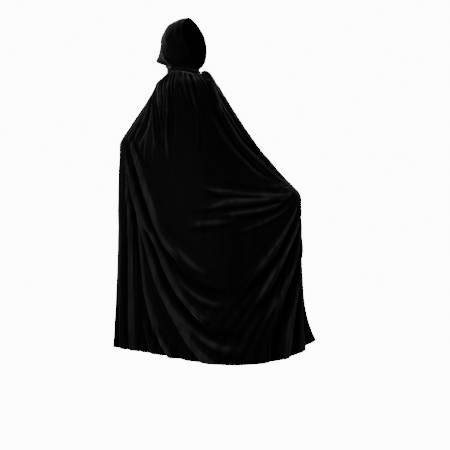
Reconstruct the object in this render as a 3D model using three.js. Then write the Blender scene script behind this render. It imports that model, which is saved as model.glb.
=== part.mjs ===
// Hooded velvet cloak, held open: millimetres, +Z up, the cloak faces -Y and its right side is -X.
// The origin is the middle of the neck band. The body is one gathered width, the hood has two halves.
import * as THREE from 'three';

// Sizes of the cloth
const CLOTH = 1.6; // wall of the pile cloth
const WIDTH = 1560; // flat width along the hem, front edge to front edge; the cut narrows to the neck
const LENGTH = 1340; // flat length, neck seam to hem
const SEAM_GAP = 0.3; // clearance between two pieces at a seam

// Sizes of the neck
const NECK_RADIUS = 75;
const NECK_STEP = 1.4; // how far outside the band's middle the body cloth is sewn on
const NECK_TILT = 12; // the neck seam rises this much from the side to the back
const NECK_LEVEL = -8; // level of the neck seam at the side
const OPEN_DEG = 4; // the front edges stop this far each side of the middle of the throat
const BAND_HEIGHT = 15;
const BAND_WALL = 2.6;

// Gathers and panels of the body
const GATHERS = 27;
const COLUMNS = 108; // columns of the body above the fading gathers; below them every second one
const FRONT_COLUMNS = 30; // columns in each front, so a front is 433 mm wide and the back 694 mm
const GATHERED_ROWS = [0, 0.014, 0.036, 0.065, 0.1, 0.14, 0.185, 0.235, 0.285];
const LOWER_ROWS = 21;
const ROW_SHARES = [
  ...GATHERED_ROWS,
  ...Array.from({ length: LOWER_ROWS }, (_, i) => 0.285 + (0.715 * (i + 1)) / LOWER_ROWS),
];

// Hang lines: how the cloth runs from the neck over a shoulder point to a bend and on to the hem.
// across is measured along the hem from the right front edge. soft is the reach of each rounded bend,
// sag how far the cloth hangs between the two bends, and late how late the line turns out to the hem.
const HANG_COLUMNS = ['across', 'shoulder', 'soft', 'bend', 'softBend', 'hem', 'sag', 'late'];
const HANG_LINES = [
  [0, [-116, -106, -72], 45, [-431, -295, -540], 20, [-441, -376, -1178], 30, 5.2],
  [150, [-127, -28, -5], 36, [-433, -250, -546], 28, [-450, -262, -1226], 36, 3.8],
  [325, [-195, 40, -55], 60, [-385, -130, -550], 120, [-418, -120, -1255], 25, 1.5],
  [530, [-162, 117, -75], 70, [-283, 0, -540], 160, [-325, 28, -1264], 0, 1],
  [745, [-53, 145, -75], 70, [-148, 92, -510], 160, [-156, 99, -1256], 0, 1],
  [965, [64, 106, -52], 60, [28, 141, -450], 160, [28, 127, -1242], 0, 1],
  [1150, [130, 52, -42], 50, [191, 148, -380], 100, [184, 141, -1235], 0, 1],
  [1300, [172, 12, -52], 50, [295, 123, -290], 22, [306, 137, -1231], 0, 1],
  [1430, [195, -60, -85], 60, [325, 42, -345], 60, [346, 38, -1231], 0, 1],
  [1560, [150, -120, -105], 60, [318, -49, -400], 80, [346, -64, -1231], 0, 1],
].map((row) => Object.fromEntries(row.map((value, i) => [HANG_COLUMNS[i], value])));

// The main folds, each a ridge along a curve through three places on the flat cloth.
// across and down are in mm from the right front edge and the neck seam; a negative height is a trough.
const FOLDS = [
  // from the left lift, down and over to the middle
  { from: [1225, 330], via: [1060, 570], to: [905, 830], width: 26, height: 10 },
  { from: [1195, 400], via: [985, 760], to: [690, 1130], width: 28, height: 16 },
  { from: [1150, 480], via: [1010, 880], to: [660, 1340], width: 30, height: 14 },
  { from: [1170, 450], via: [1000, 800], to: [700, 1180], width: 26, height: -13 },
  { from: [1130, 560], via: [1060, 1010], to: [860, 1340], width: 30, height: -10 },
  { from: [1130, 480], via: [1085, 860], to: [1085, 1340], width: 32, height: 12 },
  // the swag between the two lifts
  { from: [780, 1090], via: [650, 1150], to: [490, 1095], width: 28, height: 13 },
  { from: [800, 930], via: [700, 985], to: [590, 960], width: 26, height: 8 },
  // from the right hold, level across the back
  { from: [130, 650], via: [400, 652], to: [720, 680], width: 24, height: 14 },
  { from: [150, 610], via: [480, 590], to: [760, 530], width: 24, height: 10 },
  { from: [120, 700], via: [340, 720], to: [560, 800], width: 26, height: -8 },
  // from the right hold, down and over to the middle
  { from: [110, 700], via: [285, 885], to: [500, 1080], width: 26, height: 14 },
  { from: [100, 740], via: [262, 990], to: [430, 1230], width: 27, height: -12 },
  { from: [90, 780], via: [190, 1040], to: [335, 1340], width: 30, height: 14 },
  { from: [78, 790], via: [150, 1060], to: [250, 1340], width: 28, height: -11 },
  { from: [60, 790], via: [105, 1070], to: [165, 1340], width: 28, height: 13 },
  // from the shoulders down
  { from: [1010, 110], via: [985, 270], to: [975, 450], width: 24, height: 8 },
  { from: [800, 90], via: [815, 280], to: [855, 500], width: 24, height: 8 },
  { from: [400, 150], via: [320, 330], to: [180, 590], width: 26, height: 8 },
  { from: [520, 160], via: [430, 380], to: [260, 610], width: 26, height: 7 },
  // the hidden left front
  { from: [1340, 330], via: [1370, 800], to: [1345, 1340], width: 34, height: 12 },
  { from: [1290, 330], via: [1300, 800], to: [1275, 1340], width: 32, height: -9 },
  { from: [1440, 360], via: [1455, 850], to: [1440, 1340], width: 36, height: 13 },
  { from: [1395, 350], via: [1410, 850], to: [1395, 1340], width: 32, height: -9 },
];

// Hood arches from the face edge to the lower back corner, in the hood's own frame: forward, side, up
// from the turning axis. deg is the place on the neck ring; peak is how sharply the centre seam folds.
const HOOD_ARCHES = [
  { deg: 45, jaw: [60, 67, 70], temple: [35, 84, 180], top: [15, 251], peak: 0 },
  { deg: 80, jaw: [17, 82, 68], temple: [-2, 88, 174], top: [-20, 250], peak: 0 },
  { deg: 112, jaw: [-32, 84, 68], temple: [-44, 86, 165], top: [-60, 241], peak: 0 },
  { deg: 138, jaw: [-72, 70, 68], temple: [-82, 70, 153], top: [-96, 228], peak: 0.1 },
  { deg: 156, jaw: [-92, 48, 63], temple: [-114, 42, 136], top: [-130, 182], peak: 0.5 },
  { deg: 168, jaw: [-92, 30, 52], temple: [-131, 22, 100], top: [-153, 120], peak: 0.9 },
  { deg: 175, jaw: [-87, 18, 43], temple: [-124, 10, 60], top: [-150, 70], peak: 1 },
  { deg: 180, jaw: [-80, 0, 28], temple: [-95, 0, 33], top: [-108, 40], peak: 1 },
];
const HOOD_AXIS = [0, -14]; // the upright axis that the hood turns about
const HOOD_TURN = 80; // degrees, to the right
const HOOD_TURN_HEIGHT = 110; // the turn builds up over this height above the neck ring
const HOOD_STEPS = 12; // steps up each arch
const HOOD_COLUMNS = 16; // steps from the face edge to the back corner

const radians = (degrees) => (degrees * Math.PI) / 180;
const clamp = (x, low, high) => Math.min(Math.max(x, low), high);
const mix = (a, b, t) => a + (b - a) * t;
const smooth = (low, high, x) => {
  const t = clamp((x - low) / (high - low), 0, 1);
  return t * t * (3 - 2 * t);
};

// A smooth curve of values ys through the places xs
function through(xs, ys, x) {
  const last = xs.length - 1;
  const rise = (i) => (ys[i + 1] - ys[i]) / (xs[i + 1] - xs[i]);
  const slope = (i) => {
    if (i === 0) return rise(0);
    if (i === last) return rise(last - 1);
    const before = xs[i] - xs[i - 1];
    const after = xs[i + 1] - xs[i];
    return (rise(i - 1) * after + rise(i) * before) / (before + after);
  };
  let i = 0;
  while (i < last - 1 && x > xs[i + 1]) i += 1;
  const h = xs[i + 1] - xs[i];
  const t = (x - xs[i]) / h;
  return (2 * t ** 3 - 3 * t ** 2 + 1) * ys[i] + (t ** 3 - 2 * t ** 2 + t) * h * slope(i)
    + (3 * t ** 2 - 2 * t ** 3) * ys[i + 1] + (t ** 3 - t ** 2) * h * slope(i + 1);
}

const places = HANG_LINES.map((line) => line.across);
const sizeAt = (name, across) => through(places, HANG_LINES.map((line) => line[name]), across);
const pointAt = (name, across) => new THREE.Vector3(
  ...[0, 1, 2].map((axis) => through(places, HANG_LINES.map((line) => line[name][axis]), across)),
);

// A point of the neck seam; degrees run from the throat over the right side to the back
function neckPoint(degrees, rise = 0, out = 0) {
  const turn = radians(degrees);
  return new THREE.Vector3(
    -(NECK_RADIUS + out) * Math.sin(turn),
    -(NECK_RADIUS + out) * Math.cos(turn),
    NECK_LEVEL - NECK_TILT * Math.cos(turn) + rise,
  );
}

const neckDegrees = (across) => OPEN_DEG + ((360 - 2 * OPEN_DEG) * across) / WIDTH;

// One hang line as close points, with its length so far at each
function hangLine(across) {
  const neck = neckPoint(neckDegrees(across), -SEAM_GAP, NECK_STEP);
  const shoulder = pointAt('shoulder', across);
  const bend = pointAt('bend', across);
  const hem = pointAt('hem', across);
  const sag = Math.max(sizeAt('sag', across), 0);
  const late = Math.max(sizeAt('late', across), 1);
  const lengths = [neck.distanceTo(shoulder), shoulder.distanceTo(bend), bend.distanceTo(hem)];
  const soft = Math.min(sizeAt('soft', across), 0.45 * lengths[0], 0.45 * lengths[1]);
  const softBend = Math.min(sizeAt('softBend', across), 0.45 * lengths[1], 0.45 * lengths[2]);
  const toward = (from, to, reach) => from.clone().addScaledVector(to.clone().sub(from).normalize(), reach);
  const corners = [
    toward(shoulder, neck, soft),
    toward(shoulder, bend, soft),
    toward(bend, shoulder, softBend),
    toward(bend, hem, softBend),
  ];
  const points = [neck];
  const steps = 11;
  for (let i = 1; i <= steps; i += 1) points.push(neck.clone().lerp(corners[0], i / steps));
  const round = (from, over, to) => {
    const curve = new THREE.QuadraticBezierCurve3(from, over, to);
    for (let i = 1; i <= steps; i += 1) points.push(curve.getPoint(i / steps));
  };
  round(corners[0], shoulder, corners[1]);
  for (let i = 1; i <= steps; i += 1) {
    const point = corners[1].clone().lerp(corners[2], i / steps);
    point.z -= sag * Math.sin((Math.PI * i) / steps);
    points.push(point);
  }
  round(corners[2], bend, corners[3]);
  for (let i = 1; i <= steps; i += 1) {
    const point = corners[3].clone().lerp(hem, i / steps);
    const out = (i / steps) ** late;
    point.x = mix(corners[3].x, hem.x, out);
    point.y = mix(corners[3].y, hem.y, out);
    points.push(point);
  }
  const reach = [0];
  for (let i = 1; i < points.length; i += 1) reach.push(reach[i - 1] + points[i].distanceTo(points[i - 1]));
  return { points, reach };
}

function pointOnLine({ points, reach }, share) {
  const want = clamp(share, 0, 1) * reach[reach.length - 1];
  let i = 0;
  while (i < reach.length - 2 && reach[i + 1] < want) i += 1;
  return points[i].clone().lerp(points[i + 1], clamp((want - reach[i]) / (reach[i + 1] - reach[i]), 0, 1));
}

// Gathers: uneven pleats let out from the neck seam, each fading at its own length
function gatherHeight(across, down) {
  const wander = 0.22 * Math.sin(across / 61) + 0.16 * Math.sin(across / 23.7 + 1.3);
  const turn = (across / WIDTH) * GATHERS + wander;
  const reach = 215 + 70 * Math.sin(turn * 2.1 + 0.7) + 45 * Math.sin(turn * 0.83);
  const strength = 0.78 + 0.22 * Math.sin(turn * 3.7 + 2);
  const grown = smooth(0, 45, down);
  const left = 1 - smooth(0.25 * reach, reach, down);
  return 5.2 * strength * grown * left * Math.sin(2 * Math.PI * turn);
}

// Hem waves: shallow folds that open toward the hem, deeper on the left than under the hold
function hemHeight(across, down) {
  const grown = smooth(620, LENGTH, down);
  const depth = mix(5.5, 9, smooth(250, 1250, across));
  const turn = across / 92 + 0.32 * Math.sin(across / 143) + 0.18 * Math.sin(across / 57 + 2);
  return grown * depth * (Math.sin(2 * Math.PI * turn) + 0.3 * Math.sin(2 * Math.PI * turn * 0.47 + 1));
}

const foldPaths = FOLDS.map((fold) => {
  const [fromX, fromY] = fold.from;
  const [toX, toY] = fold.to;
  const overX = 2 * fold.via[0] - (fromX + toX) / 2;
  const overY = 2 * fold.via[1] - (fromY + toY) / 2;
  const curve = new THREE.QuadraticBezierCurve(
    new THREE.Vector2(fromX, fromY),
    new THREE.Vector2(overX, overY),
    new THREE.Vector2(toX, toY),
  );
  return { ...fold, points: curve.getPoints(32) };
});

// The main folds, as soft ridges and troughs that rise from their ends
function foldHeight(across, down) {
  let total = 0;
  for (const { points, width, height } of foldPaths) {
    let nearest = Infinity;
    let along = 0;
    for (let i = 0; i < points.length - 1; i += 1) {
      const a = points[i];
      const b = points[i + 1];
      const dx = b.x - a.x;
      const dy = b.y - a.y;
      const t = clamp(((across - a.x) * dx + (down - a.y) * dy) / (dx * dx + dy * dy), 0, 1);
      const away = (across - a.x - t * dx) ** 2 + (down - a.y - t * dy) ** 2;
      if (away < nearest) {
        nearest = away;
        along = (i + t) / (points.length - 1);
      }
    }
    const ends = smooth(0, 0.3, along) * (points[32].y > LENGTH - 30 ? 1 : 1 - smooth(0.68, 1, along));
    const wide = width * mix(0.75, 1.35, along);
    total += height * ends * Math.exp(-nearest / wide ** 2);
  }
  return total;
}

const clothHeight = (across, down) =>
  gatherHeight(across, down) + hemHeight(across, down) + foldHeight(across, down);

const spread = Array.from({ length: COLUMNS + 1 }, (_, i) => (WIDTH * i) / COLUMNS);

// The cloth's middle surface with its folds, one column of points for each place across
const smoothColumns = spread.map((across) => {
  const line = hangLine(across);
  return ROW_SHARES.map((share) => pointOnLine(line, share));
});
const across3 = (grid, i, j, reach = 1) => {
  const before = grid[Math.max(i - reach, 0)][j];
  const after = grid[Math.min(i + reach, grid.length - 1)][j];
  return after.clone().sub(before).normalize();
};
const down3 = (grid, i, j) => {
  const before = grid[i][Math.max(j - 1, 0)];
  const after = grid[i][Math.min(j + 1, grid[i].length - 1)];
  return after.clone().sub(before).normalize();
};
const outward = (grid, i, j, reach = 1) => across3(grid, i, j, reach).cross(down3(grid, i, j)).normalize();

const foldedColumns = smoothColumns.map((column, i) => column.map((point, j) => {
  const height = clothHeight(spread[i], ROW_SHARES[j] * LENGTH);
  return point.clone().addScaledVector(outward(smoothColumns, i, j), height);
}));
const reachAt = (j) => (j >= GATHERED_ROWS.length ? 2 : 1);

// A grid of points moved along their normals
const moved = (grid, normals, distance) => grid.map(
  (column, i) => column.map((point, j) => point.clone().addScaledVector(normals[i][j], distance)),
);

// A closed wall between a grid of outer points and a grid of inner points. Every row down to the one
// called last fine uses all the columns, and the rows below it every second column. mirrored is for
// grids that run the other way round, and rising says which way a quad is split.
function wall(outside, inside, { lastFine = Infinity, mirrored = false, rising = () => false } = {}) {
  const columns = outside.length;
  const rows = outside[0].length;
  const positions = [outside, inside].flat(2).flatMap((point) => point.toArray());
  const outer = (i, j) => i * rows + j;
  const inner = (i, j) => columns * rows + i * rows + j;
  const index = [];
  const face = (...corners) => {
    for (let k = 1; k < corners.length - 1; k += 1) {
      const [b, c] = mirrored ? [corners[k + 1], corners[k]] : [corners[k], corners[k + 1]];
      index.push(corners[0], b, c);
    }
  };
  const both = (first, ...others) => {
    face(outer(...first), ...others.map(([i, j]) => outer(i, j)));
    face(inner(...first), ...others.map(([i, j]) => inner(i, j)).reverse());
  };
  for (let j = 0; j < rows - 1; j += 1) {
    const step = j > lastFine ? 2 : 1;
    for (let i = 0; i < columns - 1; i += step) {
      if (j !== lastFine && rising(i, j, step)) {
        both([i + step, j], [i + step, j + 1], [i, j + 1], [i, j]);
      } else if (j !== lastFine) {
        both([i, j], [i + step, j], [i + step, j + 1], [i, j + 1]);
      } else if (i % 2 === 0) {
        both([i, j], [i + 1, j], [i, j + 1]);
        both([i + 1, j], [i + 2, j + 1], [i, j + 1]);
        both([i + 1, j], [i + 2, j], [i + 2, j + 1]);
      }
    }
    face(outer(0, j + 1), inner(0, j + 1), inner(0, j), outer(0, j));
    face(inner(columns - 1, j), inner(columns - 1, j + 1), outer(columns - 1, j + 1), outer(columns - 1, j));
  }
  for (let i = 0; i < columns - 1; i += 1) {
    face(outer(i, 0), inner(i, 0), inner(i + 1, 0), outer(i + 1, 0));
  }
  const step = rows - 1 > lastFine ? 2 : 1;
  for (let i = 0; i < columns - 1; i += step) {
    face(outer(i + step, rows - 1), inner(i + step, rows - 1), inner(i, rows - 1), outer(i, rows - 1));
  }
  const geometry = new THREE.BufferGeometry();
  geometry.setAttribute('position', new THREE.Float32BufferAttribute(positions, 3));
  geometry.setIndex(index);
  geometry.computeVertexNormals();
  return geometry;
}

// One width of the body, between two of its columns
function bodyPanel(first, last) {
  const middle = [];
  const normals = [];
  for (let i = first; i <= last; i += 1) {
    middle.push(foldedColumns[i].map((point, j) => {
      const trimmed = point.clone();
      const inwards = i === first ? 1 : -1;
      const onSeam = (i === first && i > 0) || (i === last && i < spread.length - 1);
      if (onSeam) trimmed.addScaledVector(across3(foldedColumns, i, j, reachAt(j)), (inwards * SEAM_GAP) / 2);
      return trimmed;
    }));
    normals.push(foldedColumns[i].map((point, j) => {
      const normal = outward(foldedColumns, i, j, reachAt(j));
      if (j === 0) normal.setZ(0).normalize();
      return normal;
    }));
  }
  // split each quad along the diagonal that lies nearer the cloth at the quad's middle
  const rising = (i, j, step) => {
    const at = (column, row) => clothHeight(spread[first + column], ROW_SHARES[row] * LENGTH);
    const across = (spread[first + i] + spread[first + i + step]) / 2;
    const down = ((ROW_SHARES[j] + ROW_SHARES[j + 1]) / 2) * LENGTH;
    const centre = 2 * clothHeight(across, down);
    const falls = Math.abs(at(i, j) + at(i + step, j + 1) - centre);
    const rises = Math.abs(at(i + step, j) + at(i, j + 1) - centre);
    return rises < falls;
  };
  const lastFine = GATHERED_ROWS.length - 1;
  return wall(moved(middle, normals, CLOTH / 2), moved(middle, normals, -CLOTH / 2), { lastFine, rising });
}

// The neck band, a doubled strip round the neck that stands on the body's upper edge
function neckBand() {
  const middle = [];
  const normals = [];
  const steps = 48;
  for (let i = 0; i <= steps; i += 1) {
    const degrees = mix(OPEN_DEG, 360 - OPEN_DEG, i / steps);
    const normal = new THREE.Vector3(-Math.sin(radians(degrees)), -Math.cos(radians(degrees)), 0);
    middle.push([neckPoint(degrees, BAND_HEIGHT), neckPoint(degrees)]);
    normals.push([normal, normal]);
  }
  return wall(moved(middle, normals, BAND_WALL / 2), moved(middle, normals, -BAND_WALL / 2));
}

// The hood's middle surface before it is turned; side is 1 for the right half and -1 for the left
function hoodPoint(share, rise, side) {
  const at = HOOD_ARCHES.map((_, i) => i / (HOOD_ARCHES.length - 1));
  const row = (pick) => through(at, HOOD_ARCHES.map(pick), share);
  const ringPoint = neckPoint(row((arch) => arch.deg), BAND_HEIGHT + SEAM_GAP);
  const foot = [HOOD_AXIS[1] - ringPoint.y, -ringPoint.x, ringPoint.z];
  const jaw = [0, 1, 2].map((axis) => row((arch) => arch.jaw[axis]));
  const temple = [0, 1, 2].map((axis) => row((arch) => arch.temple[axis]));
  const top = [row((arch) => arch.top[0]), 0, row((arch) => arch.top[1])];
  const peak = clamp(row((arch) => arch.peak), 0, 1);
  const knots = [foot, jaw, temple, top];
  const reach = [0];
  for (let i = 1; i < knots.length; i += 1) {
    reach.push(reach[i - 1] + Math.hypot(...knots[i].map((value, axis) => value - knots[i - 1][axis])));
  }
  const over = [...reach, 2 * reach[3] - reach[2]];
  const want = rise * reach[3];
  const [forward, aside, up] = [0, 1, 2].map((axis) => {
    const values = knots.map((knot) => knot[axis]);
    const across = axis === 1 ? -temple[1] : temple[axis];
    return mix(through(over, [...values, across], want), through(reach, values, want), peak);
  });
  return new THREE.Vector3(-side * aside, HOOD_AXIS[1] - forward, up);
}

// The neck ring stays where it is and the hood above it turns to the right
function turned(point) {
  const ringLevel = NECK_LEVEL + BAND_HEIGHT + SEAM_GAP + NECK_TILT * clamp(point.y / NECK_RADIUS, -1, 1);
  const t = clamp((point.z - ringLevel) / HOOD_TURN_HEIGHT, 0, 1);
  const turn = -radians(HOOD_TURN * (1 - (1 - t) ** 3));
  return point.clone().sub(new THREE.Vector3(...HOOD_AXIS, 0))
    .applyAxisAngle(new THREE.Vector3(0, 0, 1), turn)
    .add(new THREE.Vector3(...HOOD_AXIS, 0));
}

function hoodHalf(side) {
  const grid = [];
  for (let i = 0; i <= HOOD_COLUMNS; i += 1) {
    const column = [];
    for (let j = 0; j <= HOOD_STEPS; j += 1) {
      column.push(hoodPoint(i / HOOD_COLUMNS, 1 - j / HOOD_STEPS, side));
    }
    grid.push(column);
  }
  const normals = grid.map((column, i) => column.map((point, j) => {
    const normal = outward(grid, i, j).multiplyScalar(side);
    if (j === 0) normal.setX(0).normalize();
    if (j === HOOD_STEPS) normal.setZ(0).normalize();
    return normal;
  }));
  // keep each half clear of the centre seam, then turn it
  const placed = (points) => points.map((column) => column.map((point) => {
    const kept = point.clone();
    kept.x = -side * Math.max(-side * kept.x, SEAM_GAP / 2);
    return turned(kept);
  }));
  const outside = placed(moved(grid, normals, CLOTH / 2));
  const inside = placed(moved(grid, normals, -CLOTH / 2));
  return wall(outside, inside, { mirrored: side < 0 });
}

// A bent wire as one closed solid
function wire(points, thickness) {
  const places = points.map((point) => new THREE.Vector3(...point));
  const curve = new THREE.CatmullRomCurve3(places, false, 'centripetal');
  const section = new THREE.Shape();
  section.absarc(0, 0, thickness / 2, 0, 2 * Math.PI, false);
  return new THREE.ExtrudeGeometry(section, {
    steps: Math.round(points.length * 1.6),
    curveSegments: 4,
    bevelEnabled: false,
    extrudePath: curve,
  });
}

// The closure at the throat: a wire eye on the left end of the band and a hook on its right end
const WIRE = 1.2;
const HOOK_LEVEL = -12.5;
const EYE_DEPTH = -71.2;
const ring = (x, z, radius, fromDegrees, toDegrees, count) => Array.from({ length: count }, (_, i) => {
  const turn = radians(mix(fromDegrees, toDegrees, i / (count - 1)));
  return [x + radius * Math.cos(turn), EYE_DEPTH, HOOK_LEVEL + z + radius * Math.sin(turn)];
});
const eye = wire([
  ...ring(11, 3.6, 1.7, 200, -70, 7),
  [7, EYE_DEPTH, HOOK_LEVEL + 1.9],
  [2.5, EYE_DEPTH, HOOK_LEVEL + 2.3],
  [-0.4, EYE_DEPTH, HOOK_LEVEL + 1.7],
  [-1.6, EYE_DEPTH, HOOK_LEVEL],
  [-0.4, EYE_DEPTH, HOOK_LEVEL - 1.7],
  [2.5, EYE_DEPTH, HOOK_LEVEL - 2.3],
  [7, EYE_DEPTH, HOOK_LEVEL - 1.9],
  ...ring(11, -3.6, 1.7, 70, -200, 7),
], WIRE);
const hook = wire([
  ...ring(-11.6, 0, 1.9, 50, 330, 7),
  [-8.2, EYE_DEPTH, HOOK_LEVEL],
  [-5.4, EYE_DEPTH + 0.8, HOOK_LEVEL],
  [-3.2, EYE_DEPTH + 1.8, HOOK_LEVEL],
  [-1.2, EYE_DEPTH + 2, HOOK_LEVEL],
  [0.5, EYE_DEPTH + 1.2, HOOK_LEVEL],
  [0.9, EYE_DEPTH - 0.3, HOOK_LEVEL],
  [0, EYE_DEPTH - 1.6, HOOK_LEVEL],
  [-1.8, EYE_DEPTH - 2, HOOK_LEVEL],
  [-3.2, EYE_DEPTH - 1.9, HOOK_LEVEL],
], WIRE);

const velvet = (color) => new THREE.MeshStandardMaterial({ color, roughness: 0.85, metalness: 0 });
const steel = () => new THREE.MeshStandardMaterial({ color: 0x1c1c1e, roughness: 0.4, metalness: 0.9 });

const group = new THREE.Group();
const add = (name, geometry, material) => {
  const mesh = new THREE.Mesh(geometry, material);
  mesh.name = name;
  group.add(mesh);
};
add('right_front', bodyPanel(0, FRONT_COLUMNS), velvet(0x0e0e10));
add('back_panel', bodyPanel(FRONT_COLUMNS, COLUMNS - FRONT_COLUMNS), velvet(0x0e0e10));
add('left_front', bodyPanel(COLUMNS - FRONT_COLUMNS, COLUMNS), velvet(0x0e0e10));
add('neck_band', neckBand(), velvet(0x0b0b0d));
add('hood_right', hoodHalf(1), velvet(0x0e0e10));
add('hood_left', hoodHalf(-1), velvet(0x0e0e10));
add('neck_eye', eye, steel());
add('neck_hook', hook, steel());

export default group;
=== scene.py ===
"""Hooded black velvet cloak: fine cloth, seams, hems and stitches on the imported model."""

import math

import bpy
import numpy as np
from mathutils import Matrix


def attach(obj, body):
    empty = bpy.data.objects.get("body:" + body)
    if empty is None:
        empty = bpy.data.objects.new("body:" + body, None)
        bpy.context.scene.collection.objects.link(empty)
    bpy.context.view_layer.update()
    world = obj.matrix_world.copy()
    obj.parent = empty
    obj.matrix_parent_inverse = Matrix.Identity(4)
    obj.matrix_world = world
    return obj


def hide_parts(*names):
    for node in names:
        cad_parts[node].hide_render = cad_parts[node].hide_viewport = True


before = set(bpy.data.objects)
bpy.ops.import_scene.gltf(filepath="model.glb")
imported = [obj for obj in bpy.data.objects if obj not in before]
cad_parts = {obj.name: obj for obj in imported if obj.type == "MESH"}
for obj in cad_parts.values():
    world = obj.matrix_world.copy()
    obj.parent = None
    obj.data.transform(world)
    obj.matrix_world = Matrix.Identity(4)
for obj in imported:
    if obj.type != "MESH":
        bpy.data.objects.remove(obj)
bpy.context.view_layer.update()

# Camera: level, behind the cloak's right side
camera = bpy.data.objects.new("camera", bpy.data.cameras.new("camera"))
bpy.context.scene.collection.objects.link(camera)
camera.location = (-3.3814, 3.1240, -0.672)
camera.rotation_euler = (math.radians(90), 0, math.radians(225))
camera.data.sensor_width = 36
camera.data.lens = 82.7
bpy.context.scene.camera = camera


def add_object(name, data):
    """A new object in the scene."""
    added = bpy.data.objects.new(name, data)
    bpy.context.scene.collection.objects.link(added)
    return added


# Sizes of the cloth in millimetres, as in the part
WIDTH, LENGTH = 1560.0, 1340.0
RIGHT_SEAM, LEFT_SEAM = WIDTH * 30 / 108, WIDTH * 78 / 108
SEAM_GAP = 0.3
CLOTH = 1.1
CLEAR = 0.1  # what lies on the cloth is this far off it
FOLD_DEPTH = 1.3  # how many times deeper the folds are than the table says
HEM_TURN = 12.0  # depth of the turned edges
HEM_PLY = 1.1  # how much thicker the cloth is where it is turned
HEM_STITCH = 10.8  # from the edge to the stitches
NECK_RADIUS, NECK_TILT, NECK_LEVEL = 75.0, 12.0, -8.0
NECK_STEP = 1.4
OPEN_DEG = 4.0
BAND_HEIGHT, BAND_WALL = 15.0, 2.6
BAND_STITCH = 1.9  # from the band's edges to its stitches
GATHERS = 27

# Hang lines. Columns: across, shoulder point, its soft reach, bend point, its soft reach, hem point,
# sag between the bends, and how late the line turns out to the hem
HANG_LINES = (
    (0, (-116, -106, -72), 45, (-431, -295, -540), 20, (-441, -376, -1178), 30, 5.2),
    (150, (-127, -28, -5), 36, (-433, -250, -546), 28, (-450, -262, -1226), 36, 3.8),
    (325, (-195, 40, -55), 60, (-385, -130, -550), 120, (-418, -120, -1255), 25, 1.5),
    (530, (-162, 117, -75), 70, (-283, 0, -540), 160, (-325, 28, -1264), 0, 1),
    (745, (-53, 145, -75), 70, (-148, 92, -510), 160, (-156, 99, -1256), 0, 1),
    (965, (64, 106, -52), 60, (28, 141, -450), 160, (28, 127, -1242), 0, 1),
    (1150, (130, 52, -42), 50, (191, 148, -380), 100, (184, 141, -1235), 0, 1),
    (1300, (172, 12, -52), 50, (295, 123, -290), 22, (306, 137, -1231), 0, 1),
    (1430, (195, -60, -85), 60, (325, 42, -345), 60, (346, 38, -1231), 0, 1),
    (1560, (150, -120, -105), 60, (318, -49, -400), 80, (346, -64, -1231), 0, 1),
)

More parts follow.
